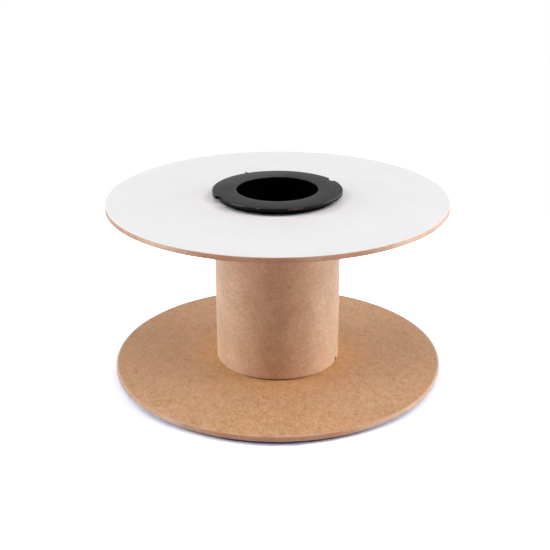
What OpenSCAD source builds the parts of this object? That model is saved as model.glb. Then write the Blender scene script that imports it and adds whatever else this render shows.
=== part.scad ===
// Empty flanged reel for thread, cord or ribbon. Two round hardboard flanges
// stand on the ends of a paper tube, and a moulded plug in each end clamps its
// flange to the tube and leaves a bore for a spindle.
// Origin: centre of the lower plug's face, which the reel stands on.
// Axes: +Z runs up the reel's axis. Both plugs are the same moulding.

/* [Flanges] */
// Diameter of both flange boards
flange_d = 200; // [140:1:260]
// Distance between the outer faces of the two flanges
reel_h = 105; // [80:1:160]
// Thickness of a flange board without its facing
board_t = 2.8; // [2:0.1:6]
// Thickness of the white facing bonded to a flange's outer side
facing_t = 0.2; // [0.1:0.05:0.5]
// Width of the chamfer round both edges of a flange board
board_chamfer = 0.25; // [0.1:0.05:0.5]

/* [Core tube] */
// Outer diameter of the paper tube
core_d = 75; // [70:1:110]
// Thickness of the smooth outer wrap of the tube
wrap_t = 0.4; // [0.2:0.1:0.8]
// Thickness of the grey-brown plies between wrap and liner
plies_t = 4.2; // [2:0.1:6]
// Thickness of the liner on the inside of the tube
liner_t = 0.4; // [0.2:0.1:0.8]

/* [End plugs] */
// Diameter of the bore for the spindle
bore_d = 47.6; // [30:0.2:50]
// Wall of the sleeve round the bore
sleeve_wall = 2; // [1.2:0.1:3]
// Length of the bore from the plug's face
sleeve_len = 28; // [20:1:34]
// Wall of the skirt that presses into the tube
skirt_wall = 2; // [1.2:0.1:3]
// Depth of the skirt below the flange's outer face
skirt_len = 20; // [10:1:30]
// Gap all round between the skirt and the tube
press_gap = 0.05; // [0.02:0.01:0.2]
// Gap all round between the skirt and the hole in a flange
hole_gap = 0.3; // [0.1:0.05:1]
// Thickness of the plug's rim
rim_t = 1.8; // [1.7:0.1:4]
// Width of the land that bears on the flange round its hole
land_w = 1.6; // [1:0.1:4]
// Height of that land, which lifts the rim off the flange
land_h = 2.7; // [0.5:0.1:4]
// Width of the rim's lip beyond the land
lip_w = 3.8; // [2:0.1:8]
// Chamfer on the edges of the rim and the skirt
plug_chamfer = 0.35; // [0.1:0.05:0.8]
// Number of ribs between sleeve and skirt
rib_count = 8; // [4:1:16]
// Thickness of a rib
rib_t = 1.8; // [1:0.1:3]
// Depth of a rib below the rim
rib_h = 14; // [6:1:18]

/* [Rim marks] */
// Width of each notch in the rim
notch_w = 6.2; // [3:0.1:12]
// Depth of each notch into the rim
notch_depth = 2; // [1:0.1:3]
// Direction of the first notch, counted from +X
notch_angle = 30; // [0:1:90]
// Angle from the first notch to the second
notch_spacing = 177; // [150:1:180]
// Direction of the stub left by the moulding gate
gate_angle = 119; // [90:1:150]
// Width of the gate stub
gate_w = 0.9; // [0.5:0.1:2]
// Length of the gate stub beyond the rim
gate_len = 2.2; // [0.5:0.1:3]
// Thickness of the gate stub
gate_t = 1; // [0.5:0.1:2]

/* [Hidden] */
$fn = 180;

hardboard = "#b98a63";
white_facing = "#eeedef";
kraft = "#bf9270";
grey_board = "#a58a74";
black_plastic = "#47474a";

// Radii, from the outside of the tube to the bore
core_r = core_d / 2;
plies_r = core_r - wrap_t;
liner_r = plies_r - plies_t;
tube_bore_r = liner_r - liner_t;
skirt_r = tube_bore_r - press_gap;
skirt_bore_r = skirt_r - skirt_wall;
bore_r = bore_d / 2;
sleeve_r = bore_r + sleeve_wall;

// Radii of the flange and of the plug's land and rim above its hole
flange_r = flange_d / 2;
hole_r = skirt_r + hole_gap;
land_r = hole_r + land_w;
rim_r = land_r + lip_w;

// Heights, from the face that the reel stands on
proud = rim_t + land_h;
low_board_z = proud + facing_t;
tube_z = low_board_z + board_t;
top_face_z = proud + reel_h;
top_board_z = top_face_z - facing_t - board_t;
tube_len = top_board_z - tube_z;
total_h = top_face_z + proud;

// A ring that stands on z = 0
module ring(outer_r, inner_r, h) {
    rotate_extrude()
        translate([inner_r, 0])
            square([outer_r - inner_r, h]);
}

// A flange board, chamfered round both edges of its rim
module flange_board(z) {
    translate([0, 0, z])
        rotate_extrude()
            polygon([
                [hole_r, 0],
                [flange_r - board_chamfer, 0],
                [flange_r, board_chamfer],
                [flange_r, board_t - board_chamfer],
                [flange_r - board_chamfer, board_t],
                [hole_r, board_t]
            ]);
}

// The facing covers the flat of the board, from its hole to its chamfer
module flange_facing(z) {
    translate([0, 0, z])
        ring(flange_r - board_chamfer, hole_r, facing_t);
}

// The plug's turned shape, with its face at z = 0 and its skirt below it
module plug_body() {
    skirt_end = -proud - skirt_len;
    rotate_extrude()
        polygon([
            [bore_r + plug_chamfer, 0],
            [rim_r - plug_chamfer, 0],
            [rim_r, -plug_chamfer],
            [rim_r, plug_chamfer - rim_t],
            [rim_r - plug_chamfer, -rim_t],
            [land_r, -rim_t],
            [land_r, -proud],
            [skirt_r, -proud],
            [skirt_r, skirt_end + plug_chamfer],
            [skirt_r - plug_chamfer, skirt_end],
            [skirt_bore_r, skirt_end],
            [skirt_bore_r, -rim_t],
            [sleeve_r, -rim_t],
            [sleeve_r, -sleeve_len],
            [bore_r, -sleeve_len],
            [bore_r, -plug_chamfer]
        ]);
}

// Ribs run from the middle of the sleeve's wall to the middle of the skirt's
module plug_ribs() {
    inner = sleeve_r - sleeve_wall / 2;
    outer = skirt_r - skirt_wall / 2;
    for (i = [0 : rib_count - 1])
        rotate(360 * i / rib_count)
            translate([inner, -rib_t / 2, -rim_t - rib_h])
                cube([outer - inner, rib_t, rib_h + rim_t / 2]);
}

// Notches cut through the lip, from its edge inwards
module rim_notches() {
    for (i = [0, 1])
        rotate(notch_angle + i * notch_spacing)
            translate([rim_r - notch_depth, -notch_w / 2, -rim_t - land_h / 2])
                cube([2 * notch_depth, notch_w, rim_t + land_h]);
}

// The gate stub lies level with the rim's face
module gate_stub() {
    root = rim_r - lip_w / 2;
    rotate(gate_angle)
        translate([root, -gate_w / 2, -gate_t])
            cube([rim_r + gate_len - root, gate_w, gate_t]);
}

module plug() {
    difference() {
        union() {
            plug_body();
            plug_ribs();
        }
        rim_notches();
    }
    gate_stub();
}

module bottom_plug() {
    color(black_plastic)
        rotate([180, 0, 0])
            plug();
}

module top_plug() {
    color(black_plastic)
        translate([0, 0, total_h])
            plug();
}

module bottom_board() {
    color(hardboard)
        flange_board(low_board_z);
}

module top_board() {
    color(hardboard)
        flange_board(top_board_z);
}

module bottom_facing() {
    color(white_facing)
        flange_facing(proud);
}

module top_facing() {
    color(white_facing)
        flange_facing(top_face_z - facing_t);
}

module core_wrap() {
    color(kraft)
        translate([0, 0, tube_z])
            ring(core_r, plies_r, tube_len);
}

module core_plies() {
    color(grey_board)
        translate([0, 0, tube_z])
            ring(plies_r, liner_r, tube_len);
}

module core_liner() {
    color(grey_board)
        translate([0, 0, tube_z])
            ring(liner_r, tube_bore_r, tube_len);
}

bottom_plug();
bottom_facing();
bottom_board();
core_liner();
core_plies();
core_wrap();
top_board();
top_facing();
top_plug();
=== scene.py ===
import math

import bmesh
import bpy
from mathutils import Matrix, Vector


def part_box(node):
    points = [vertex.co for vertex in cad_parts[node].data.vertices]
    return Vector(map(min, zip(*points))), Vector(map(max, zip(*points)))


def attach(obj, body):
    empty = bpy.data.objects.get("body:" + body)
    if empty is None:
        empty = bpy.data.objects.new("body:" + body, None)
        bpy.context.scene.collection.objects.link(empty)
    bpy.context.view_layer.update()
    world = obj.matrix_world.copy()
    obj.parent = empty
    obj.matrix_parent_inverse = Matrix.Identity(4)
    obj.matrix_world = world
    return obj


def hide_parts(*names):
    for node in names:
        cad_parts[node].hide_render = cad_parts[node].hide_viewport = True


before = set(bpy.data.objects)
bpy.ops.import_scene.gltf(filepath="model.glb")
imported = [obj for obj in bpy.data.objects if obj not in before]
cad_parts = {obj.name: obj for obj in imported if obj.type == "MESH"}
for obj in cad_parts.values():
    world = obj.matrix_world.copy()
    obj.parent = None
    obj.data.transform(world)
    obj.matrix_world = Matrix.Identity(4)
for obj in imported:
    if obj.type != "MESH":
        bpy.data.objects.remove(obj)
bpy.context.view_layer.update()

# ---------------------------------------------------------------------------
# Paper tube
# The reel's core is a tube of thick paper, wound from glued grey-brown plies
# between a smooth kraft wrap outside and a coarser liner inside. Wrap and
# liner are each one sheet, whose edges meet in a butt seam at the back.
# ---------------------------------------------------------------------------
MM = 0.001
tube_low, tube_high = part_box("core_wrap")
wrap_radius = tube_high.x
wrap_thickness = wrap_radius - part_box("core_plies")[1].x
liner_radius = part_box("core_liner")[1].x
liner_thickness = 0.4 * MM
glue_line = 0.03 * MM
end_gap = 0.12 * MM
seam_gap = 0.25 * MM
liner_seam_gap = 0.6 * MM
seam_at_base = math.radians(58)
liner_seam_at_base = math.radians(205)
seam_lean = math.radians(62)
seam_tuck = 0.09 * MM
end_pinch = 0.16 * MM
pinch_length = 0.7 * MM
nick_angle = math.radians(-19.5)
nick_rise = 0.8 * MM
nick_reach = 3 * MM
nick_dark_height = 1.3 * MM
speck_place = (6.65 * MM, -36.9 * MM, 66.9 * MM)


def srgb(code):
    """Turns an sRGB hex code into the linear colour that a shader takes."""
    parts = [int(code[i:i + 2], 16) / 255 for i in (1, 3, 5)]
    return (*[c / 12.92 if c < 0.04045 else ((c + 0.055) / 1.055) ** 2.4 for c in parts], 1.0)


def feed(tree, node, feeds):
    """Sets a node's inputs: each takes a value, a socket, or a node, whose first output in use it gets."""
    for name, value in feeds.items():
        if isinstance(value, bpy.types.Node):
            value = next(output for output in value.outputs if output.enabled)
        if isinstance(value, bpy.types.NodeSocket):
            tree.links.new(value, node.inputs[name])
        else:
            node.inputs[name].default_value = value


def put(tree, kind, feeds=None, stops=(), **settings):
    """Adds a node. Its kind is the type's name, which for a shader node goes without "ShaderNode".

    Settings are the node's own properties, stops the colours of a ramp, and feeds its inputs.
    """
    node = tree.nodes.new(kind if "Node" in kind else "ShaderNode" + kind)
    for name, value in settings.items():
        setattr(node, name, value)
    for i, (amount, code) in enumerate(stops):
        if i > 1:
            node.color_ramp.elements.new(amount)
        node.color_ramp.elements[i].position = amount
        node.color_ramp.elements[i].color = srgb(code)
    feed(tree, node, feeds or {})
    return node


def new_tree(name, sizes):
    """Starts a Geometry Nodes tree that has one named input for each size."""
    tree = bpy.data.node_groups.new(name, "GeometryNodeTree")
    for label, kind in sizes.items():
        tree.interface.new_socket(label, in_out="INPUT", socket_type="NodeSocket" + kind)
    tree.interface.new_socket("Geometry", in_out="OUTPUT", socket_type="NodeSocketGeometry")
    return tree, put(tree, "NodeGroupInput").outputs


def close_tree(tree, shape, *finishes):
    """Ends a tree: makes its shape real and smooth, and puts each material on where it goes."""
    real = put(tree, "GeometryNodeRealizeInstances", {"Geometry": shape})
    done = put(tree, "GeometryNodeSetShadeSmooth", {"Geometry": real})
    for where, material in finishes:
        done = put(tree, "GeometryNodeSetMaterial", {
            "Geometry": done, "Selection": where, "Material": material})
    put(tree, "NodeGroupOutput", {"Geometry": done})


def settle(piece, crease=32):
    """Turns a piece with its modifiers into a plain mesh, with edges sharper than crease kept hard."""
    evaluated = piece.evaluated_get(bpy.context.evaluated_depsgraph_get())
    mesh = bpy.data.meshes.new_from_object(evaluated)
    mesh.name = piece.name
    if mesh.materials[0] is None:
        mesh.materials.pop(index=0)
    piece.modifiers.clear()
    piece.data = mesh
    mesh.set_sharp_from_angle(angle=math.radians(crease))
    return piece


def grow(name, tree, sizes, start=None, thickness=0.0):
    """Runs a tree on a new piece, gives the sheet a thickness if it needs one, and settles the piece."""
    piece = bpy.data.objects.new(name, start or bpy.data.meshes.new(name))
    bpy.context.scene.collection.objects.link(piece)
    modifier = piece.modifiers.new("tree", "NODES")
    modifier.node_group = tree
    for socket in tree.interface.items_tree:
        if socket.name in sizes:
            modifier[socket.identifier] = sizes[socket.name]
    if thickness:
        wall = piece.modifiers.new("wall", "SOLIDIFY")
        wall.thickness, wall.offset, wall.use_even_offset = thickness, -1, True
    return settle(piece)


def off_axis(tree, place):
    """A place's part square to the reel's axis, and its distance from that axis."""
    flat = put(tree, "VectorMath", {0: place, 1: (1.0, 1.0, 0.0)}, operation="MULTIPLY")
    return flat, put(tree, "VectorMath", {0: flat}, operation="LENGTH")


def new_material(name, **shader):
    """Starts a material and sets on its shader what is the same all over the surface."""
    material = bpy.data.materials.new(name)
    material.use_nodes = True
    tree = material.node_tree
    body = tree.nodes["Principled BSDF"]
    for label, value in shader.items():
        body.inputs[label.replace("_", " ")].default_value = value
    place = put(tree, "TexCoord").outputs["Object"]
    return material, tree, body, place


# Kraft paper: machine-made, so its short fibres run mostly round the tube. Calendering leaves it
# smooth with a faint sheen, and the fibres give it a fine mottle in slightly lighter and darker tan.
def kraft_paper():
    material, tree, body, place = new_material("kraft_paper_calendered", IOR=1.45)
    along = put(tree, "Mapping", {"Vector": place, "Scale": (1.0, 1.0, 1.7)})
    fibres = put(tree, "TexNoise", {
        "Vector": along, "Scale": 1 / (2.0 * MM), "Detail": 5.0, "Roughness": 0.66, "Distortion": 0.5})
    clouds = put(tree, "TexNoise",
                 {"Vector": place, "Scale": 1 / (12 * MM), "Detail": 3.0, "Roughness": 0.5})
    mottle = put(tree, "Mix", {0: 0.32, 2: fibres, 3: clouds})
    tan = put(tree, "ValToRGB", {0: mottle}, stops=((0.34, "#cc9f83"), (0.5, "#dbb395"), (0.64, "#eac7a7")))
    # The web's uneven drying leaves faint bands up the tube, some pinker and some greyer
    upwards = put(tree, "Mapping", {"Vector": place, "Scale": (1.0, 1.0, 0.08)})
    bands = put(tree, "TexNoise", {"Vector": upwards, "Scale": 1 / (7 * MM), "Detail": 1.0})
    tint = put(tree, "ValToRGB", {0: bands}, stops=((0.36, "#f9faf8"), (0.5, "#fafafa"), (0.64, "#fcf9f8")))
    dried = put(tree, "Mix", {0: 1.0, 6: tan, 7: tint}, data_type="RGBA", blend_type="MULTIPLY")
    # Painted shade: the near side is a little darker and browner
    axes = put(tree, "SeparateXYZ", {0: place}).outputs
    toned = put(tree, "MapRange", {0: axes["Y"], 1: -wrap_radius, 2: -0.8 * wrap_radius, 3: 1.0, 4: 0.0})
    near_side_shaded = put(tree, "Mix", {0: toned, 6: dried, 7: srgb("#fbf0e7")},
                  data_type="RGBA", blend_type="MULTIPLY")
    # Painted shade: both sides are a little darker and greyer
    to_side = put(tree, "Math", {0: axes["X"]}, operation="ABSOLUTE")
    side_shade_share = put(tree, "MapRange", {0: to_side, 1: 27 * MM, 2: 33 * MM})
    sides_shaded = put(tree, "Mix", {0: side_shade_share, 6: near_side_shaded, 7: (0.9, 0.955, 0.95, 1.0)},
                  data_type="RGBA", blend_type="MULTIPLY")
    # Flecks: about one cell in seven holds a bit of darker fibre, and one speck is larger than the rest
    flecks = put(tree, "TexVoronoi", {"Vector": along, "Scale": 1 / (4.2 * MM)})
    rare = put(tree, "SeparateColor", {"Color": flecks.outputs["Color"]})
    chosen = put(tree, "Math", {0: rare.outputs["Red"], 1: 0.86}, operation="GREATER_THAN")
    inside = put(tree, "MapRange", {0: flecks.outputs["Distance"], 1: 0.05, 2: 0.15, 3: 0.55, 4: 0.0})
    fleck = put(tree, "Math", {0: chosen, 1: inside}, operation="MULTIPLY")
    from_speck = put(tree, "VectorMath", {0: place, 1: speck_place}, operation="DISTANCE")
    dot = put(tree, "MapRange", {0: from_speck, 1: 0.35 * MM, 2: 0.75 * MM, 3: 0.8, 4: 0.0})
    dark = put(tree, "Math", {0: fleck, 1: dot}, operation="MAXIMUM")
    marked = put(tree, "Mix", {0: dark, 6: sides_shaded, 7: srgb("#946b4e")}, data_type="RGBA")
    # Painted shade at both flanges: dark in the last millimetre, faint for three, strongest on the near
    # side
    from_low = put(tree, "Math", {0: axes["Z"], 1: tube_low.z}, operation="SUBTRACT")
    from_high = put(tree, "Math", {0: tube_high.z, 1: axes["Z"]}, operation="SUBTRACT")
    to_flange = put(tree, "Math", {0: from_low, 1: from_high}, operation="MINIMUM")
    contact_shade = put(tree, "MapRange", {0: to_flange, 1: 0.5 * MM, 2: 1.3 * MM, 3: 1.0, 4: 0.0})
    most = put(tree, "MapRange", {0: axes["Y"], 1: -wrap_radius, 2: -30 * MM, 3: 0.95, 4: 0.25})
    flange_shade = put(tree, "MapRange", {0: to_flange, 1: 0.0, 2: 3.2 * MM, 3: 0.22, 4: 0.0})
    foot_shade = put(tree, "Math", {0: contact_shade, 1: flange_shade}, operation="MAXIMUM")
    foot_shade_share = put(tree, "Math", {0: foot_shade, 1: most}, operation="MULTIPLY")
    # Round the torn nick in the low edge the wrap is a darker brown and dull
    nick = (*Vector((math.cos(nick_angle), math.sin(nick_angle))) * wrap_radius,
            tube_low.z + nick_dark_height)
    from_nick = put(tree, "VectorMath", {0: place, 1: nick}, operation="DISTANCE")
    nick_dark = put(tree, "MapRange", {0: from_nick, 1: 1.3 * MM, 2: 2.0 * MM, 3: 1.0, 4: 0.0})
    foot_shaded = put(tree, "Mix", {0: foot_shade_share, 6: marked, 7: srgb("#5c2c0c")}, data_type="RGBA")
    colour = put(tree, "Mix", {0: nick_dark, 6: foot_shaded, 7: srgb("#4e270e")}, data_type="RGBA")
    gloss = put(tree, "MapRange", {0: fibres, 1: 0.3, 2: 0.7, 3: 0.5, 4: 0.66})
    dulled = put(tree, "Mix", {0: nick_dark, 2: gloss, 3: 1.0})
    relief = put(tree, "Bump", {"Strength": 0.18, "Distance": 0.06 * MM, "Height": fibres})
    feed(tree, body, {"Base Color": colour, "Roughness": dulled, "Normal": relief})
    return material


# Core board: recycled grey-brown paper, uncoated. It is rough and matt, with blotches of the
# different papers that it was pulped from.
def core_board():
    material, tree, body, place = new_material("core_board_recycled", IOR=1.45)
    pulp = put(tree, "TexNoise",
               {"Vector": place, "Scale": 1 / (2.2 * MM), "Detail": 6.0, "Roughness": 0.7})
    blotch = put(tree, "TexNoise", {"Vector": place, "Scale": 1 / (16 * MM), "Detail": 2.0})
    mixed = put(tree, "Mix", {0: 0.4, 2: pulp, 3: blotch})
    grey = put(tree, "ValToRGB", {0: mixed}, stops=((0.35, "#7e6d5c"), (0.5, "#968370"), (0.66, "#ab9985")))
    matt = put(tree, "MapRange", {0: pulp, 1: 0.3, 2: 0.7, 3: 0.78, 4: 0.92})
    relief = put(tree, "Bump", {"Strength": 0.5, "Distance": 0.12 * MM, "Height": pulp})
    feed(tree, body, {"Base Color": grey, "Roughness": matt, "Normal": relief})
    return material


def wound_sheet():
    """One sheet wound once round: its two edges meet at a seam that leans up the tube."""
    tree, size = new_tree("wound sheet", {
        "Radius": "Float", "Low End": "Float", "High End": "Float", "Seam": "Float", "Lean": "Float",
        "Gap": "Float", "Nick": "Float", "Nick Height": "Float", "Material": "Material"})
    # A flat grid, one unit each way, with a column for each degree round the tube
    grid = put(tree, "GeometryNodeMeshGrid", {
        "Size X": 1.0, "Size Y": 1.0, "Vertices X": 361, "Vertices Y": 67})
    spot = put(tree, "SeparateXYZ", {0: put(tree, "GeometryNodeInputPosition")})
    across = put(tree, "Math", {0: spot.outputs["X"], 1: 0.5}, operation="ADD")
    up = put(tree, "Math", {0: spot.outputs["Y"], 1: 0.5}, operation="ADD")
    # The rows crowd towards both ends, where the sheet is pinched in
    crowding = 0.95
    turn = put(tree, "Math", {0: up, 1: math.tau}, operation="MULTIPLY")
    wave = put(tree, "Math", {0: turn}, operation="SINE")
    height = put(tree, "Math", {0: wave, 1: -crowding / math.tau, 2: up}, operation="MULTIPLY_ADD")
    gap_angle = put(tree, "Math", {0: size["Gap"], 1: size["Radius"]}, operation="DIVIDE")
    sweep = put(tree, "Math", {0: math.tau, 1: gap_angle}, operation="SUBTRACT")
    turned = put(tree, "Math", {0: across, 1: sweep, 2: size["Seam"]}, operation="MULTIPLY_ADD")
    angle = put(tree, "Math", {0: height, 1: size["Lean"], 2: turned}, operation="MULTIPLY_ADD")
    length = put(tree, "Math", {0: size["High End"], 1: size["Low End"]}, operation="SUBTRACT")
    z = put(tree, "Math", {0: height, 1: length, 2: size["Low End"]}, operation="MULTIPLY_ADD")
    # A torn nick lifts the low edge: fully over a millimetre, and not at all beyond three millimetres.
    # These two are half of that in radians
    nick_floor, nick_mouth = 0.014, 0.04
    aside = put(tree, "Math", {0: angle, 1: size["Nick"]}, operation="SUBTRACT")
    off_nick = put(tree, "Math", {0: aside}, operation="ABSOLUTE")
    torn = put(tree, "MapRange",
               {0: off_nick, 1: nick_floor, 2: nick_mouth, 3: size["Nick Height"], 4: 0.0},
               interpolation_type="SMOOTHSTEP")
    above = put(tree, "Math", {0: z, 1: size["Low End"]}, operation="SUBTRACT")
    lift = put(tree, "MapRange", {0: above, 1: 0.0, 2: nick_reach, 3: torn, 4: 0.0})
    z = put(tree, "Math", {0: z, 1: lift}, operation="ADD")
    # Both ends are pressed in a little by the flanges, and both seam edges by the winding belt
    below = put(tree, "Math", {0: size["High End"], 1: z}, operation="SUBTRACT")
    to_end = put(tree, "Math", {0: above, 1: below}, operation="MINIMUM")
    pinch = put(tree, "MapRange",
                {0: to_end, 1: 0.0, 2: pinch_length, 3: end_pinch, 4: 0.0}, interpolation_type="SMOOTHSTEP")
    middle = put(tree, "Math", {0: spot.outputs["X"]}, operation="ABSOLUTE")
    tuck = put(tree, "MapRange",
               {0: middle, 1: 0.494, 2: 0.5, 3: 0.0, 4: seam_tuck}, interpolation_type="SMOOTHSTEP")
    drop = put(tree, "Math", {0: pinch, 1: tuck}, operation="ADD")
    radius = put(tree, "Math", {0: size["Radius"], 1: drop}, operation="SUBTRACT")
    cosine = put(tree, "Math", {0: angle}, operation="COSINE")
    x = put(tree, "Math", {0: radius, 1: cosine}, operation="MULTIPLY")
    sine = put(tree, "Math", {0: angle}, operation="SINE")
    y = put(tree, "Math", {0: radius, 1: sine}, operation="MULTIPLY")
    on_tube = put(tree, "CombineXYZ", {0: x, 1: y, 2: z})
    rolled = put(tree, "GeometryNodeSetPosition", {"Geometry": grid, "Position": on_tube})
    close_tree(tree, rolled, (True, size["Material"]))
    return tree


wound = wound_sheet()
board_of_core = core_board()
tube_wrap = grow("tube_wrap", wound, {
    "Radius": wrap_radius, "Low End": tube_low.z + end_gap, "High End": tube_high.z, "Seam": seam_at_base,
    "Lean": seam_lean, "Gap": seam_gap, "Nick": nick_angle + math.tau, "Nick Height": nick_rise,
    "Material": kraft_paper()}, thickness=wrap_thickness - glue_line)
tube_liner = grow("tube_liner", wound, {
    "Radius": liner_radius, "Low End": tube_low.z, "High End": tube_high.z, "Seam": liner_seam_at_base,
    "Lean": seam_lean, "Gap": liner_seam_gap, "Nick": 0.0, "Nick Height": 0.0,
    "Material": board_of_core}, thickness=liner_thickness)
for piece, node, finish in ((tube_wrap, "core_wrap", "kraft_wrap"),
                            (tube_liner, "core_liner", "core_board")):
    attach(piece, "root")
    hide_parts(node)
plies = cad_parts["core_plies"]
plies.data.materials.clear()
plies.data.materials.append(board_of_core)

# ---------------------------------------------------------------------------
# Flange boards
# Two round boards of tempered hardboard, 2.8 mm thick, die-cut from a sheet.
# The smooth brown faces look at each other across the tube, and the cut
# edges stay raw. Each board is glued to an end of the tube.
# ---------------------------------------------------------------------------
flange_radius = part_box("top_board")[1].x
hole_radius = 32.75 * MM
arris = 0.32 * MM
board_wander = 0.22 * MM
wall_depth = 0.4 * MM
ring_segments = 540
bark_splinters = ((-84.9, -26.2), (-8.3, -57.0), (68.4, -35.9), (-51.8, -37.7))


def ring_profile(inner, outer, low, high, rounding, steps=5):
    """The cross-section of a turned ring, radius by height, as a closed wire with rounded outer edges."""
    margin = 0.5 * MM
    flat_end = outer - rounding
    points = [(inner, low), (inner + margin, low), (flat_end - margin, low)]
    for corner, turn in ((low + rounding, -90), (high - rounding, 0)):
        for step in range(steps + 1):
            angle = math.radians(turn + 90 * step / steps)
            points.append((flat_end + rounding * math.cos(angle), corner + rounding * math.sin(angle)))
    points += [(flat_end - margin, high), (inner + margin, high), (inner, high)]
    edges = [(i, (i + 1) % len(points)) for i in range(len(points))]
    wire = bpy.data.meshes.new("profile")
    wire.from_pydata([(radius, z, 0.0) for radius, z in points], edges, [])
    return wire


def turned_ring():
    """A profile swept round the axis. Its outer wall wanders inwards a little, as a worn die cuts it."""
    tree, size = new_tree("turned ring", {
        "Profile": "Geometry", "Segments": "Int", "Wander": "Float", "Outer Radius": "Float",
        "Material": "Material", "Wall Material": "Material"})
    # The path has next to no radius of its own, because the profile holds the ring's radii
    path = put(tree, "GeometryNodeCurvePrimitiveCircle", {"Resolution": size["Segments"], "Radius": 1e-6})
    shape = put(tree, "GeometryNodeMeshToCurve", {"Mesh": size["Profile"]})
    swept = put(tree, "GeometryNodeCurveToMesh", {"Curve": path, "Profile Curve": shape})
    # A profile's height runs downwards on the path, so the ring is turned over
    ring = put(tree, "GeometryNodeTransform", {"Geometry": swept, "Rotation": (math.pi, 0.0, 0.0)})
    place = put(tree, "GeometryNodeInputPosition")
    flat, reach = off_axis(tree, place)
    rough = put(tree, "TexNoise",
                {"Vector": place, "Scale": 1 / (7 * MM), "Detail": 3.0, "Roughness": 0.65})
    inside = put(tree, "Math", {0: size["Outer Radius"], 1: reach}, operation="SUBTRACT")
    at_wall = put(tree, "Math", {0: inside, 1: wall_depth}, operation="LESS_THAN")
    wander = put(tree, "Math", {0: rough, 1: size["Wander"]}, operation="MULTIPLY")
    depth = put(tree, "Math", {0: wander, 1: at_wall}, operation="MULTIPLY")
    share = put(tree, "Math", {0: depth, 1: reach}, operation="DIVIDE")
    back = put(tree, "Math", {0: share, 1: -1.0}, operation="MULTIPLY")
    inwards = put(tree, "VectorMath", {0: flat, "Scale": back}, operation="SCALE")
    edge_marked = put(tree, "GeometryNodeSetPosition", {"Geometry": ring, "Offset": inwards})
    # The wall's faces are those that look more outwards than up or down
    facing = put(tree, "SeparateXYZ", {0: put(tree, "GeometryNodeInputNormal")})
    slope = put(tree, "Math", {0: facing.outputs["Z"]}, operation="ABSOLUTE")
    upright = put(tree, "Math", {0: slope, 1: 0.8}, operation="LESS_THAN")
    close_tree(tree, edge_marked, (True, size["Material"]), (upright, size["Wall Material"]))
    return tree


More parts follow.
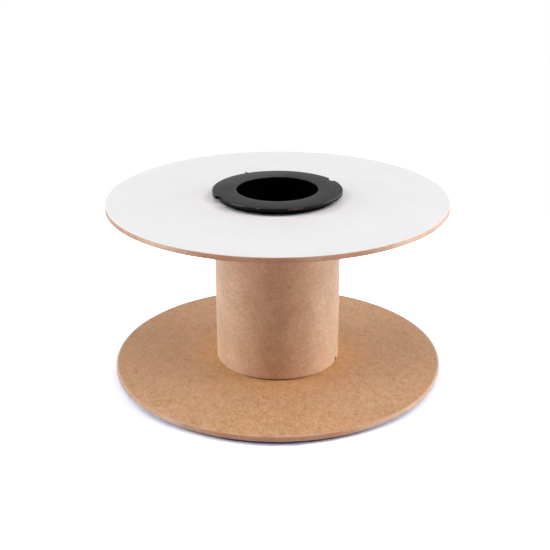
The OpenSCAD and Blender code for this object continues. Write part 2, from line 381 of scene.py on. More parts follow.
# Hardboard, smooth side: wood fibre felted at random and pressed hot against a polished plate. Fibre
# bundles show as short darker strokes, crossing each other over a tan ground that drifts from olive
# to pink with the mat, with a few specks of bark. The plate leaves it flat with a low satin gloss.
# Single fibres are finer than the view shows, so they are drawn as bundles half a millimetre wide.
def hardboard_face():
    material, tree, body, place = new_material("hardboard_smooth_side", IOR=1.48)
    # The mat is drawn out a little as it is laid, so its pattern is longer one way
    sheet = put(tree, "Mapping", {"Vector": place, "Scale": (1.0, 0.5, 1.0)})
    strokes = []
    for turn, shift in ((15, 0.0), (75, 3.1), (135, 7.7)):
        lie = put(tree, "Mapping", {
            "Vector": sheet, "Location": (shift, shift, 0.0), "Rotation": (0.0, 0.0, math.radians(turn)),
            "Scale": (1.0, 2.0, 1.0)})
        strokes.append(put(tree, "TexNoise", {
            "Vector": lie, "Scale": 1 / (4.4 * MM), "Detail": 3.0, "Roughness": 0.7, "Distortion": 0.4}))
    crossed = put(tree, "Math", {0: strokes[0], 1: strokes[1]}, operation="MINIMUM")
    felt = put(tree, "Math", {0: crossed, 1: strokes[2]}, operation="MINIMUM")
    grain = put(tree, "TexNoise", {"Vector": sheet, "Scale": 1 / (0.9 * MM), "Detail": 2.0})
    fine = put(tree, "Mix", {0: 0.4, 2: felt, 3: grain})
    # The pattern is stronger on the near side, where the plate was hotter
    axes = put(tree, "SeparateXYZ", {0: place}).outputs
    pressed = put(tree, "MapRange", {0: axes["Y"], 1: -85 * MM, 2: -15 * MM, 3: 1.0, 4: 0.68})
    fine = put(tree, "Mix", {0: pressed, 2: 0.46, 3: fine})
    brown = put(tree, "ValToRGB", {0: fine},
                stops=((0.3, "#af7d4f"), (0.42, "#c5986f"), (0.5, "#d0a57e"), (0.62, "#ddb694")))
    mat = put(tree, "TexNoise", {"Vector": place, "Scale": 1 / (16 * MM), "Detail": 1.0})
    drift = put(tree, "ValToRGB", {0: mat}, stops=((0.36, "#f6f8f2"), (0.5, "#faf8f6"), (0.64, "#fdf7f5")))
    ground = put(tree, "Mix", {0: 1.0, 6: brown, 7: drift}, data_type="RGBA", blend_type="MULTIPLY")
    # Round the tube's foot the board is a warmer, more orange tan
    from_axis = off_axis(tree, place)[1]
    near_foot = put(tree, "MapRange", {0: from_axis, 1: 39 * MM, 2: 58 * MM, 3: 1.0, 4: 0.0})
    tinged = put(tree, "Mix", {0: near_foot, 6: ground, 7: (1.09, 1.06, 0.84, 1.0)},
                 data_type="RGBA", blend_type="MULTIPLY")
    # Painted sheen: away from the near side the sheet is a shade paler and bluer
    far_sheen = put(tree, "MapRange", {0: axes["Y"], 1: -75 * MM, 2: -40 * MM})
    surface = put(tree, "Mix", {0: far_sheen, 6: tinged, 7: (1.045, 1.055, 1.1, 1.0)},
                  data_type="RGBA", blend_type="MULTIPLY")
    # The face's outer millimetre is paler: the die's fray and a painted highlight, least of all in front
    frayed = put(tree, "MapRange", {0: from_axis, 1: 98.3 * MM, 2: 99.3 * MM})
    how_much = put(tree, "MapRange", {0: axes["Y"], 1: -60 * MM, 2: -10 * MM, 3: 0.1, 4: 0.85})
    fray_and_highlight = put(tree, "Math", {0: frayed, 1: how_much}, operation="MULTIPLY")
    fringed = put(tree, "Mix", {0: fray_and_highlight, 6: surface, 7: srgb("#f0eaea")}, data_type="RGBA")
    # Bark: a speck in about one cell in seven, placed on the last strokes, and four larger splinters
    bits = put(tree, "TexVoronoi", {"Vector": lie, "Scale": 1 / (5 * MM)})
    rare = put(tree, "SeparateColor", {"Color": bits.outputs["Color"]})
    chosen = put(tree, "Math", {0: rare.outputs["Green"], 1: 0.86}, operation="GREATER_THAN")
    inside = put(tree, "MapRange", {0: bits.outputs["Distance"], 1: 0.05, 2: 0.16, 3: 0.8, 4: 0.0})
    speck = put(tree, "Math", {0: chosen, 1: inside}, operation="MULTIPLY")
    for x, y in bark_splinters:
        away = put(tree, "VectorMath", {0: place, 1: (x * MM, y * MM, 0.0)}, operation="SUBTRACT")
        thin = put(tree, "VectorMath", {0: away, 1: (1.0, 0.3, 0.0)}, operation="MULTIPLY")
        reach = put(tree, "VectorMath", {0: thin}, operation="LENGTH")
        splinter = put(tree, "MapRange", {0: reach, 1: 0.2 * MM, 2: 0.7 * MM, 3: 0.62, 4: 0.0})
        speck = put(tree, "Math", {0: speck, 1: splinter}, operation="MAXIMUM")
    colour = put(tree, "Mix", {0: speck, 6: fringed, 7: srgb("#7a4a28")}, data_type="RGBA")
    satin = put(tree, "MapRange", {0: fine, 1: 0.3, 2: 0.6, 3: 0.6, 4: 0.46})
    relief = put(tree, "Bump", {"Strength": 0.07, "Distance": 0.05 * MM, "Height": fine})
    feed(tree, body, {"Base Color": colour, "Roughness": satin, "Normal": relief})
    return material


# Hardboard, die-cut edge: the pressed mat shows as fine layers that run round the board, crushed
# and a little furred by the die. It is paler, greyer and quite matt.
def hardboard_edge():
    material, tree, body, place = new_material("hardboard_die_cut_edge", IOR=1.48)
    lie = put(tree, "Mapping", {"Vector": place, "Scale": (1.0, 1.0, 9.0)})
    layers = put(tree, "TexNoise", {"Vector": lie, "Scale": 1 / (4 * MM), "Detail": 5.0, "Roughness": 0.65})
    fur = put(tree, "TexNoise", {"Vector": place, "Scale": 1 / (0.8 * MM), "Detail": 3.0})
    clouds = put(tree, "TexNoise", {"Vector": place, "Scale": 1 / (24 * MM), "Detail": 2.0})
    fine = put(tree, "Mix", {0: 0.35, 2: layers, 3: fur})
    mixed = put(tree, "Mix", {0: 0.38, 2: fine, 3: clouds})
    brown = put(tree, "ValToRGB", {0: mixed},
                stops=((0.36, "#b98061"), (0.5, "#daa17f"), (0.64, "#f0bfa2")))
    # Painted light and shade: towards both sides the edge is paler and bluer, at the far left darker
    axes = put(tree, "SeparateXYZ", {0: place}).outputs
    aside = put(tree, "Math", {0: axes["X"]}, operation="ABSOLUTE")
    side_light = put(tree, "MapRange", {0: aside, 1: 33 * MM, 2: 54 * MM})
    tone = put(tree, "Mix", {
        0: side_light, 6: (0.96, 0.91, 0.9, 1.0), 7: (1.0, 1.26, 1.42, 1.0)}, data_type="RGBA")
    far_left_shade = put(tree, "MapRange", {0: axes["X"], 1: -92 * MM, 2: -66 * MM, 3: 0.68, 4: 1.0})
    dimmed = put(tree, "VectorMath", {0: tone, "Scale": far_left_shade}, operation="SCALE")
    toned = put(tree, "Mix", {0: 1.0, 6: brown, 7: dimmed}, data_type="RGBA", blend_type="MULTIPLY")
    matt = put(tree, "MapRange", {0: fine, 1: 0.3, 2: 0.7, 3: 0.7, 4: 0.88})
    relief = put(tree, "Bump", {"Strength": 0.6, "Distance": 0.12 * MM, "Height": fine})
    feed(tree, body, {"Base Color": toned, "Roughness": matt, "Normal": relief})
    return material


turned = turned_ring()
board_face, board_edge = hardboard_face(), hardboard_edge()
for node in ("bottom_board", "top_board"):
    low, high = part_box(node)
    board = grow(node + "_cut", turned, {
        "Segments": ring_segments, "Wander": board_wander, "Outer Radius": flange_radius,
        "Material": board_face, "Wall Material": board_edge},
        start=ring_profile(hole_radius, flange_radius, low.z, high.z, arris))
    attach(board, "root")
    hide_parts(node)

# ---------------------------------------------------------------------------
# White facings
# The outer side of each board carries a thin white coated paper, bonded to
# the sheet before the boards were cut, so it ends just short of the cut
# edge, where the die has rounded it over.
# ---------------------------------------------------------------------------
facing_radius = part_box("top_facing")[1].x
facing_round = 0.09 * MM
facing_wander = 0.12 * MM


# Coated paper: white pigment coating over pulp, satin, with a very slight waviness and a trace of
# cool grey in the thin places.
def coated_paper():
    material, tree, body, place = new_material("coated_paper_white", IOR=1.5)
    wave = put(tree, "TexNoise", {"Vector": place, "Scale": 1 / (22 * MM), "Detail": 3.0})
    pulp = put(tree, "TexNoise", {"Vector": place, "Scale": 1 / (1.6 * MM), "Detail": 4.0})
    mixed = put(tree, "Mix", {0: 0.45, 2: wave, 3: pulp})
    white = put(tree, "ValToRGB", {0: mixed},
                stops=((0.35, "#ebe9eb"), (0.5, "#eeeced"), (0.65, "#f0efef")))
    # Round the plug's rim the white is painted lighter and faintly rosy, lifting the rim's shadow on it,
    # and right under the rim on the near side it is painted lighter still
    axes = put(tree, "SeparateXYZ", {0: place}).outputs
    reach = off_axis(tree, place)[1]
    by_rim = put(tree, "MapRange", {0: reach, 1: 41 * MM, 2: 49 * MM, 3: 1.0, 4: 0.0})
    ahead = put(tree, "MapRange", {0: axes["Y"], 1: -12 * MM, 2: 0.0, 3: 1.0, 4: 0.3})
    front = put(tree, "MapRange", {0: axes["Y"], 1: -41 * MM, 2: -35 * MM, 3: 0.35, 4: 1.0})
    rosy_lift_share = put(tree, "Math", {0: by_rim, 1: ahead}, operation="MULTIPLY")
    first = put(tree, "Math", {0: rosy_lift_share, 1: front}, operation="MULTIPLY")
    rosy_lift = put(tree, "Mix", {0: first, 6: white, 7: srgb("#fcf4f8")}, data_type="RGBA")
    under_rim = put(tree, "MapRange", {0: reach, 1: 39 * MM, 2: 42 * MM, 3: 1.0, 4: 0.0})
    near_side = put(tree, "MapRange", {0: axes["Y"], 1: -20 * MM, 2: 5 * MM, 3: 1.0, 4: 0.0})
    under_rim_lift_share = put(tree, "Math", {0: under_rim, 1: near_side}, operation="MULTIPLY")
    lifted_under_rim = put(tree, "Mix", {0: under_rim_lift_share, 6: rosy_lift, 7: srgb("#fffafc")}, data_type="RGBA")
    satin = put(tree, "MapRange", {0: wave, 1: 0.3, 2: 0.7, 3: 0.42, 4: 0.54})
    relief = put(tree, "Bump", {"Strength": 0.15, "Distance": 0.03 * MM, "Height": pulp})
    feed(tree, body, {"Base Color": lifted_under_rim, "Roughness": satin, "Normal": relief})
    return material


paper = coated_paper()
for node in ("bottom_facing", "top_facing"):
    low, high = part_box(node)
    skin = grow(node + "_paper", turned, {
        "Segments": ring_segments, "Wander": facing_wander, "Outer Radius": facing_radius,
        "Material": paper, "Wall Material": paper},
        start=ring_profile(hole_radius, facing_radius, low.z, high.z, facing_round, steps=3))
    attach(skin, "root")
    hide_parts(node)

# ---------------------------------------------------------------------------
# End plugs
# One black polypropylene moulding, pressed into each end of the tube. Its
# rim stands over the flange on a narrow land, with two notches in its edge
# for a driving dog, and eight ribs tie the skirt to the sleeve of the bore.
# ---------------------------------------------------------------------------
plug_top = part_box("top_plug")[1].z
rim_radius = 38.15 * MM
bore_radius = 23.8 * MM
sleeve_radius = 25.8 * MM
skirt_radius = 32.45 * MM
skirt_bore_radius = 30.45 * MM
land_radius = 34.35 * MM
lip_radius = 35.1 * MM
rim_thickness = 1.8 * MM
rim_crown = 0.06 * MM
rim_stand = 4.5 * MM
sleeve_length = 28 * MM
skirt_length = 24.5 * MM
lead_in = 0.35 * MM
lead_length = 0.6 * MM
edge_round = 0.32 * MM
# The ribs end in the middle of the sleeve's wall and of the skirt's
rib_count = 8
rib_thickness = 1.8 * MM
rib_height = 15 * MM
rib_root = 1 * MM
rib_ends = (24.8 * MM, 31.45 * MM)
# Each notch takes up its reach, in degrees, on both sides of its middle
notch_width = 6.2 * MM
notch_depth = 2 * MM
notch_round = 0.45 * MM
notch_angles = (30, 207)
notch_reach = 6.5
rim_step = 1.2
gate_angle = 119
gate_root = 1.2 * MM
gate_length = 2.2 * MM
crest_radius = 30.5 * MM
dome_curve = 5.5
streak_ratio = 7.0


def rounded(corner, before, after, reach, steps=4):
    """A corner of an outline, cut back by reach and rounded."""
    start = corner + (before - corner).normalized() * reach
    end = corner + (after - corner).normalized() * reach
    for step in range(steps + 1):
        t = step / steps
        yield start * (1 - t) ** 2 + corner * 2 * t * (1 - t) + end * t ** 2


def spoke(radius, way):
    """The point at this radius in this direction, in degrees."""
    return Vector((radius * math.cos(math.radians(way)), radius * math.sin(math.radians(way))))


def rim_outline():
    """The rim seen from above: its points, each with the direction of the spoke that it belongs to."""
    half, floor = notch_width / 2, rim_radius - notch_depth
    mouth = math.sqrt(rim_radius ** 2 - half ** 2)
    before = spoke(rim_radius, -math.degrees(math.asin(half / rim_radius)) - 1)
    corners = [before, Vector((mouth, -half)), Vector((floor, -half)),
               Vector((floor, half)), Vector((mouth, half)), Vector((before.x, -before.y))]
    notch = []
    for i in (1, 2, 3, 4):
        notch += rounded(corners[i], corners[i - 1], corners[i + 1], notch_round)
        if i == 2:
            notch += [Vector((floor, half * t)) for t in (-0.5, 0.0, 0.5)]
    outline = []
    for here, following in zip(notch_angles, notch_angles[1:] + (notch_angles[0] + 360,)):
        turn = Matrix.Rotation(math.radians(here), 2)
        outline += [(turn @ point, here + notch_reach * (2 * i / (len(notch) - 1) - 1))
                    for i, point in enumerate(notch)]
        first, last = here + notch_reach, following - notch_reach
        steps = round((last - first) / rim_step)
        for i in range(1, steps):
            way = first + (last - first) * i / steps
            outline.append((spoke(rim_radius, way), way))
    return outline


def plug_shell():
    """The turned body of the plug with its face at z = 0, as rings of points that close on themselves."""
    outline = rim_outline()
    count = len(outline)
    rings = []

    def circle(radius, z):
        rings.append([(*spoke(radius, way), z) for _, way in outline])

    def rim_edge(inset, z):
        ring = []
        for i, (point, _) in enumerate(outline):
            along = (outline[(i + 1) % count][0] - outline[i - 1][0]).normalized()
            ring.append((*(point + Vector((-along.y, along.x)) * inset), z))
        rings.append(ring)

    # A quarter round, from the wall (0, 1) to the face (1, 0)
    quarter = [(edge_round * (1 - math.cos(math.radians(t))), edge_round * (1 - math.sin(math.radians(t))))
               for t in (0, 18, 36, 54, 72, 90)]
    for inset, drop in quarter:
        circle(bore_radius + inset, -drop)
    for radius in (bore_radius + edge_round + 0.25 * MM, 28 * MM, 32 * MM):
        circle(radius, 0.0)
    circle(lip_radius, -0.25 * rim_crown)
    for inset, drop in reversed(quarter):
        rim_edge(inset, -rim_crown - drop)
    for inset, drop in quarter:
        rim_edge(inset, drop - rim_thickness)
    circle(lip_radius, -rim_thickness)
    circle(land_radius, -rim_thickness)
    circle(land_radius, -rim_stand)
    circle(skirt_radius, -rim_stand)
    circle(skirt_radius, lead_length - skirt_length)
    circle(skirt_radius - lead_in, -skirt_length)
    circle(skirt_bore_radius, -skirt_length)
    circle(skirt_bore_radius, -rim_thickness)
    circle(sleeve_radius, -rim_thickness)
    circle(sleeve_radius, -sleeve_length)
    circle(bore_radius, -sleeve_length)
    corners = [corner for ring in rings for corner in ring]
    faces = []
    for i in range(len(rings)):
        here, further = i * count, (i + 1) % len(rings) * count
        for j in range(count):
            k = (j + 1) % count
            faces.append((here + j, further + j, further + k, here + k))
    shell = bpy.data.meshes.new("plug_shell")
    shell.from_pydata(corners, [], faces)
    return shell


def gate_stub():
    """The stub of the moulding gate: it was snapped off, so it thins outwards and ends ragged."""
    root, tip = rim_radius - gate_root, rim_radius + gate_length
    shape = bmesh.new()
    # For each section its place on the spoke, then half its width and its two levels in millimetres
    sections = ((root, 0.45, -1.0, 0.0),
                (rim_radius + 0.4 * MM, 0.43, -1.0, -0.02),
                (tip - 0.8 * MM, 0.36, -0.86, 0.0),
                (tip, 0.22, -0.7, -0.12))
    rings = []
    for x, half, low, high in sections:
        rings.append([shape.verts.new((x, side * half * MM, level * MM))
                      for side, level in ((-1, low), (1, low), (1, high), (-1, high))])
    for a, b in zip(rings, rings[1:]):
        for i in range(4):
            shape.faces.new((a[i], b[i], b[(i + 1) % 4], a[(i + 1) % 4]))
    shape.faces.new(rings[0])
    shape.faces.new(reversed(rings[-1]))
    bmesh.ops.recalc_face_normals(shape, faces=shape.faces)
    bmesh.ops.rotate(shape, verts=shape.verts, matrix=Matrix.Rotation(math.radians(gate_angle), 3, "Z"))
    mesh = bpy.data.meshes.new("gate_stub")
    shape.to_mesh(mesh)
    shape.free()
    return mesh


def ribbed():
    """Joins the shell, the stub and a ring of ribs, which thin downwards for the mould, into one solid."""
    tree, size = new_tree("ribbed plug", {
        "Shell": "Geometry", "Stub": "Object", "Ribs": "Int", "Rib Thickness": "Float",
        "Rib Height": "Float", "Inner Radius": "Float", "Outer Radius": "Float",
        "Underside": "Float", "Material": "Material"})
    reach = put(tree, "Math", {0: size["Outer Radius"], 1: size["Inner Radius"]}, operation="SUBTRACT")
    both = put(tree, "Math", {0: size["Outer Radius"], 1: size["Inner Radius"]})
    middle = put(tree, "Math", {0: both, 1: 0.5}, operation="MULTIPLY")
    centre = put(tree, "Math", {0: size["Rib Height"], 1: -0.5, 2: size["Underside"]},
                 operation="MULTIPLY_ADD")
    sides = put(tree, "CombineXYZ", {0: reach, 1: size["Rib Thickness"], 2: size["Rib Height"]})
    block = put(tree, "GeometryNodeMeshCube", {"Size": sides})
    axes = put(tree, "SeparateXYZ", {0: put(tree, "GeometryNodeInputPosition")}).outputs
    draft = put(tree, "MapRange", {0: axes["Z"], 1: -7 * MM, 2: 7 * MM, 3: 0.8, 4: 1.0})
    thinned = put(tree, "Math", {0: axes["Y"], 1: draft}, operation="MULTIPLY")
    tapered = put(tree, "CombineXYZ", {0: axes["X"], 1: thinned, 2: axes["Z"]})
    rib = put(tree, "GeometryNodeSetPosition", {"Geometry": block, "Position": tapered})
    seat = put(tree, "CombineXYZ", {0: middle, 2: centre})
    seated = put(tree, "GeometryNodeTransform", {"Geometry": rib, "Translation": seat})
    points = put(tree, "GeometryNodePoints", {"Count": size["Ribs"]})
    step = put(tree, "Math", {0: math.tau, 1: size["Ribs"]}, operation="DIVIDE")
    number = put(tree, "GeometryNodeInputIndex")
    angle = put(tree, "Math", {0: number, 1: step}, operation="MULTIPLY")
    turn = put(tree, "FunctionNodeAxisAngleToRotation", {"Axis": (0.0, 0.0, 1.0), "Angle": angle})
    ribs = put(tree, "GeometryNodeInstanceOnPoints",
               {"Points": points, "Instance": seated, "Rotation": turn})
    stub = put(tree, "GeometryNodeObjectInfo", {"Object": size["Stub"]})
    solid = put(tree, "GeometryNodeMeshBoolean", operation="UNION", solver="EXACT")
    real_ribs = put(tree, "GeometryNodeRealizeInstances", {"Geometry": ribs})
    for part in (size["Shell"], real_ribs.outputs["Geometry"], stub.outputs["Geometry"]):
        tree.links.new(part, solid.inputs["Mesh"])
    close_tree(tree, solid, (True, size["Material"]))
    return tree


# Black polypropylene, moulded: black all through, with a low satin gloss from the mould. Handling has
# scuffed the rim's flat face to a hazy dark grey in faint streaks that run round it, and its corner is
# painted pale in four places as highlight. A rusty hook has left a short ragged mark below the corner.
def black_polypropylene():
    material, tree, body, place = new_material(
        "polypropylene_black_moulded", IOR=1.49, Specular_IOR_Level=0.1)
    grain = put(tree, "TexNoise", {"Vector": place, "Scale": 1 / (0.7 * MM), "Detail": 3.0})
    flat, reach = off_axis(tree, place)
    way = put(tree, "VectorMath", {0: flat}, operation="NORMALIZE")
    # Both plugs are marked alike: depth is counted from the face of the nearer one
    height = put(tree, "SeparateXYZ", {0: place}).outputs["Z"]
    level = put(tree, "Math", {0: height, 1: plug_top / 2}, operation="SUBTRACT")
    off_middle = put(tree, "Math", {0: level}, operation="ABSOLUTE")
    depth = put(tree, "Math", {0: plug_top / 2, 1: off_middle}, operation="SUBTRACT")

    def towards(angle, half_width, fade):
        """1 in this direction from the axis, and 0 beyond its half width and fade, all in degrees."""
        outside, inside = math.cos(math.radians(half_width + fade)), math.cos(math.radians(half_width))
        facing = put(tree, "VectorMath", {0: way, 1: (*spoke(1.0, angle), 0.0)}, operation="DOT_PRODUCT")
        return put(tree, "MapRange", {0: facing, 1: outside, 2: inside})

    # Scuffs: the noise is stretched round the ring, so a streak is about seven times as long as it is wide
    run = put(tree, "VectorMath", {0: way, "Scale": rim_radius}, operation="SCALE")
    across = put(tree, "Math", {0: reach, 1: streak_ratio}, operation="MULTIPLY")
    aside = put(tree, "CombineXYZ", {2: across})
    ring = put(tree, "VectorMath", {0: run, 1: aside}, operation="ADD")
    streaks = put(tree, "TexNoise", {
        "Vector": ring, "Scale": 1 / (9 * MM), "Detail": 5.0, "Roughness": 0.6, "Distortion": 0.25})
    rubbed = put(tree, "Math", {0: towards(124, 34, 16), 1: 0.13, 2: streaks}, operation="MULTIPLY_ADD")
    scuffed = put(tree, "ValToRGB", {0: rubbed},
                  stops=((0.38, "#050505"), (0.5, "#0b0b0b"), (0.58, "#171718"), (0.68, "#343436")))
    face = put(tree, "MapRange", {0: depth, 1: 0.1 * MM, 2: 0.45 * MM, 3: 1.0, 4: 0.0})
    # Bore and underside of the rim: dead matt from the eroded mould, and a deeper black as painted shade
    in_bore = put(tree, "MapRange", {0: reach, 1: bore_radius + 0.3 * MM, 2: bore_radius})
    below = put(tree, "MapRange", {0: depth, 1: 0.9 * MM, 2: rim_thickness})
    matt = put(tree, "Math", {0: in_bore, 1: below}, operation="MAXIMUM")
    black_with_shade = put(tree, "Mix", {0: matt, 6: srgb("#0a0a0a"), 7: srgb("#020202")}, data_type="RGBA")
    black = put(tree, "Mix", {0: face, 6: black_with_shade, 7: scuffed}, data_type="RGBA")

    # Painted highlight on the rim's outer corner, in four places towards the near side
    at_edge = put(tree, "MapRange", {0: reach, 1: rim_radius - 0.6 * MM, 2: rim_radius - 0.3 * MM})
    corner_band = put(tree, "Math", {0: at_edge, 1: face}, operation="MULTIPLY")
    highlight_places = towards(-126, 5, 3)
    for spot in (towards(-28, 12, 8), towards(-106.8, 0.4, 0.6), towards(-172, 7, 5)):
        highlight_places = put(tree, "Math", {0: highlight_places, 1: spot}, operation="MAXIMUM")
    edge_marked = put(tree, "Math", {0: corner_band, 1: highlight_places}, operation="MULTIPLY")
    corner = put(tree, "Mix", {0: edge_marked, 6: black, 7: srgb("#686869")}, data_type="RGBA")

    # Rust: brown at the corner and greyer below, broken up by the grain
    on_wall = put(tree, "MapRange", {0: depth, 1: 0.7 * MM, 2: 1.1 * MM, 3: 1.0, 4: 0.0})
    outside = put(tree, "MapRange", {0: reach, 1: rim_radius - 0.35 * MM, 2: rim_radius - 0.2 * MM})
    spread = put(tree, "Math", {0: on_wall, 1: outside}, operation="MULTIPLY")
    patch = put(tree, "Math", {0: spread, 1: towards(-75, 5, 5)}, operation="MULTIPLY")
    broken = put(tree, "Math", {0: patch, 1: 0.5, 2: grain}, operation="MULTIPLY_ADD")
    ragged = put(tree, "MapRange", {0: broken, 1: 0.9, 2: 1.05})
    dusty = put(tree, "MapRange", {0: depth, 1: 0.4 * MM, 2: 0.9 * MM})
    rust = put(tree, "Mix", {0: dusty, 6: srgb("#684e40"), 7: srgb("#807670")}, data_type="RGBA")
    colour = put(tree, "Mix", {0: ragged, 6: corner, 7: rust}, data_type="RGBA")
    satin = put(tree, "MapRange", {0: streaks, 1: 0.35, 2: 0.7, 3: 0.36, 4: 0.5})
    rough = put(tree, "Mix", {0: matt, 2: satin, 3: 1.0})
    # The rim's face sank a little as it cooled, so it is gently domed between bore and edge
    off_crest = put(tree, "Math", {0: reach, 1: crest_radius}, operation="SUBTRACT")
    squared = put(tree, "Math", {0: off_crest, 1: off_crest}, operation="MULTIPLY")
    curve = put(tree, "Math", {0: face, 1: -dome_curve}, operation="MULTIPLY")
    sunk = put(tree, "Math", {0: squared, 1: curve}, operation="MULTIPLY")
    dome = put(tree, "Bump", {"Strength": 1.0, "Distance": 1.0, "Height": sunk})
    relief = put(tree, "Bump", {"Strength": 0.25, "Distance": 0.04 * MM, "Height": grain, "Normal": dome})
    feed(tree, body, {"Base Color": colour, "Roughness": rough, "Normal": relief})
    return material


# The bore's wall is the same plastic, but its core pin was eroded rough to let the moulding go, so it
# has no gloss at all; its black is also painted deeper, as shade, so it looks blacker than the rim.
def eroded_polypropylene():
    material, tree, body, place = new_material(
        "polypropylene_black_eroded", IOR=1.49, Specular_IOR_Level=0.0)
    pits = put(tree, "TexNoise", {"Vector": place, "Scale": 1 / (0.5 * MM), "Detail": 3.0})
    black = put(tree, "ValToRGB", {0: pits}, stops=((0.3, "#010101"), (0.7, "#060606")))
    matt = put(tree, "MapRange", {0: pits, 1: 0.3, 2: 0.7, 3: 0.92, 4: 1.0})
    relief = put(tree, "Bump", {"Strength": 0.4, "Distance": 0.05 * MM, "Height": pits})
    feed(tree, body, {"Base Color": black, "Roughness": matt, "Normal": relief})
    return material


stub = bpy.data.objects.new("stub", gate_stub())
bpy.context.scene.collection.objects.link(stub)
plug_tree, plastic, eroded_plastic = ribbed(), black_polypropylene(), eroded_polypropylene()
for node, seat in (("bottom_plug", Matrix.Rotation(math.pi, 4, "X")),
                   ("top_plug", Matrix.Translation((0.0, 0.0, plug_top)))):
    plug = grow(node + "_moulding", plug_tree, {
        "Stub": stub, "Ribs": rib_count, "Rib Thickness": rib_thickness, "Rib Height": rib_height,
        "Inner Radius": rib_ends[0], "Outer Radius": rib_ends[1], "Underside": rib_root - rim_thickness,
        "Material": plastic}, start=plug_shell())
    plug.data.transform(seat)
    plug.data.materials.append(eroded_plastic)
    for face in plug.data.polygons:
        if face.center.xy.length < bore_radius:
            face.material_index = 1
    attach(plug, "root")
    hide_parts(node)
bpy.data.objects.remove(stub)

# ---------------------------------------------------------------------------
# Studio
# A white table, soft panels high and low on both sides and weaker ones in
# front. The table shows as plain white, with the reel's shadow on it, painted round the flange.
# ---------------------------------------------------------------------------
world = bpy.data.worlds.new("studio_room")
bpy.context.scene.world = world
world.use_nodes = True
room = world.node_tree
room.nodes.clear()


def sees_white(tree):
    """True for the rays that see the studio's white: the camera's, and those off gloss or through glass."""
    path = put(tree, "LightPath").outputs
    seen = path["Is Camera Ray"]
    for kind in ("Is Glossy Ray", "Is Transmission Ray"):
        seen = put(tree, "Math", {0: seen, 1: path[kind]}, operation="MAXIMUM")
    return seen


glow = put(room, "Background", {"Color": (0.93, 0.96, 1.0, 1.0), "Strength": 0.03})
backdrop = put(room, "Background", {"Color": (1.0, 1.0, 1.0, 1.0), "Strength": 1.0})
surroundings = put(room, "MixShader", {0: sees_white(room), 1: glow, 2: backdrop})
put(room, "OutputWorld", {"Surface": surroundings})

lamp_aim = Vector((0.0, 0.0, 0.05))
# Each lamp: its name, its place, the length of its sides and its power in watts
for name, spot, size, power in (
        ("left_softbox", (-1.0, 0.1, 1.0), 1.0, 8.3),
        ("right_softbox", (1.0, -0.1, 1.0), 1.0, 11.1),
        ("left_low_panel", (-1.2, 0.0, 0.15), 0.5, 8.0),
        ("right_low_panel", (1.2, 0.0, 0.15), 0.5, 11.1),
        ("left_middle_panel", (-1.2, 0.0, 0.5), 0.5, 2.6),
        ("front_top_panel", (0.0, -0.7, 1.4), 0.6, 5.0),
        ("front_low_panel", (0.0, -1.4, 0.2), 0.6, 1.2)):
    light = bpy.data.lights.new(name, "AREA")
    light.shape, light.size, light.energy = "SQUARE", size, power
    lamp = bpy.data.objects.new(name, light)
    lamp.location = spot
    lamp.visible_camera = False
    lamp.rotation_mode = "QUATERNION"
    lamp.rotation_quaternion = (lamp_aim - lamp.location).to_track_quat("-Z", "Y")
    bpy.context.scene.collection.objects.link(lamp)

half_table = 5.0
corners = [(x * half_table, y * half_table, 0) for x, y in ((-1, -1), (1, -1), (1, 1), (-1, 1))]
table = bpy.data.meshes.new("table")
table.from_pydata(corners, [], [(0, 1, 2, 3)])
floor = bpy.data.objects.new("table", table)
bpy.context.scene.collection.objects.link(floor)
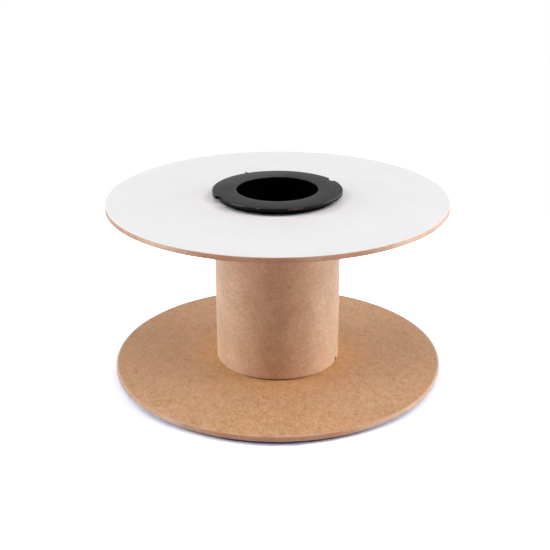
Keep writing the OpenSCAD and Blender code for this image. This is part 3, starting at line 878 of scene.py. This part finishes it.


# White laminate: plain, matt and clean. To the camera it is lifted until its open areas are pure white,
# and only the shadow under the reel stays below that. Round the flange that shadow is painted: in front
# it is deep right under the flange and gone a few millimetres further out, reddish inside, lilac outside.
def white_laminate():
    material = bpy.data.materials.new("white_laminate")
    material.use_nodes = True
    tree = material.node_tree
    tree.nodes.clear()
    plain = put(tree, "BsdfDiffuse", {"Color": (0.4, 0.4, 0.4, 1.0)})
    white = put(tree, "Emission", {"Color": (1.0, 1.0, 1.0, 1.0), "Strength": 1.0})
    place = put(tree, "TexCoord").outputs["Object"]
    away = put(tree, "VectorMath", {0: place}, operation="LENGTH")
    way = put(tree, "VectorMath", {0: place}, operation="NORMALIZE")
    facing = put(tree, "VectorMath", {0: way, 1: (0.0, -1.0, 0.0)}, operation="DOT_PRODUCT")
    ahead = put(tree, "MapRange", {0: facing, 1: 0.6, 2: 0.96})
    front = put(tree, "Math", {0: ahead, 1: 3.0}, operation="POWER")
    edge_lift = put(tree, "MapRange", {0: away, 1: 94.1 * MM, 2: 96.4 * MM, 3: 0.2, 4: 2.9})
    behind = put(tree, "MapRange", {0: facing, 1: 0.1, 2: -0.35})
    back_lift = put(tree, "MapRange", {0: away, 1: 99 * MM, 2: 105 * MM, 3: 1.0, 4: 2.1})
    side_lift = put(tree, "MapRange", {0: away, 1: 101 * MM, 2: 114 * MM, 3: 1.0, 4: 1.5})
    around = put(tree, "Mix", {0: behind, 2: side_lift, 3: back_lift})
    close_by = put(tree, "MapRange", {0: away, 1: 94 * MM, 2: 96.2 * MM, 3: 0.72, 4: 1.0})
    sides = put(tree, "Math", {0: around, 1: close_by}, operation="MULTIPLY")
    lift = put(tree, "Mix", {0: front, 2: sides, 3: edge_lift})
    outer = put(tree, "MapRange", {0: away, 1: 93.5 * MM, 2: 95.5 * MM})
    tint = put(tree, "Mix", {0: outer, 6: (1.6, 1.2, 1.15, 1.0), 7: (1.28, 1.27, 1.43, 1.0)},
               data_type="RGBA")
    edge_tone = put(tree, "VectorMath", {0: tint, "Scale": lift}, operation="SCALE")
    # Deeper under the reel the painted shadow gives way to one even tone
    beyond = put(tree, "MapRange", {0: away, 1: 82 * MM, 2: 91 * MM})
    tone = put(tree, "Mix", {0: beyond, 6: (1.3, 1.3, 1.36, 1.0), 7: edge_tone}, data_type="RGBA")
    lifted = put(tree, "BsdfDiffuse", {"Color": tone})
    far = put(tree, "MapRange", {0: away, 1: 0.16, 2: 0.4}, interpolation_type="SMOOTHSTEP")
    shown = put(tree, "MixShader", {0: far, 1: lifted, 2: white})
    seen = put(tree, "MixShader", {0: sees_white(tree), 1: plain, 2: shown})
    put(tree, "OutputMaterial", {"Surface": seen})
    return material


table.materials.append(white_laminate())

camera_data = bpy.data.cameras.new("camera")
camera_data.sensor_width = 36.0
camera_data.lens = 63.018
camera = bpy.data.objects.new("camera", camera_data)
camera.location = (-0.00154, -0.53963, 0.28018)
camera.rotation_euler = (math.radians(67.756), math.radians(0.153), math.radians(-0.063))
bpy.context.scene.collection.objects.link(camera)
bpy.context.scene.camera = camera

bpy.context.scene.view_settings.view_transform = "Standard"
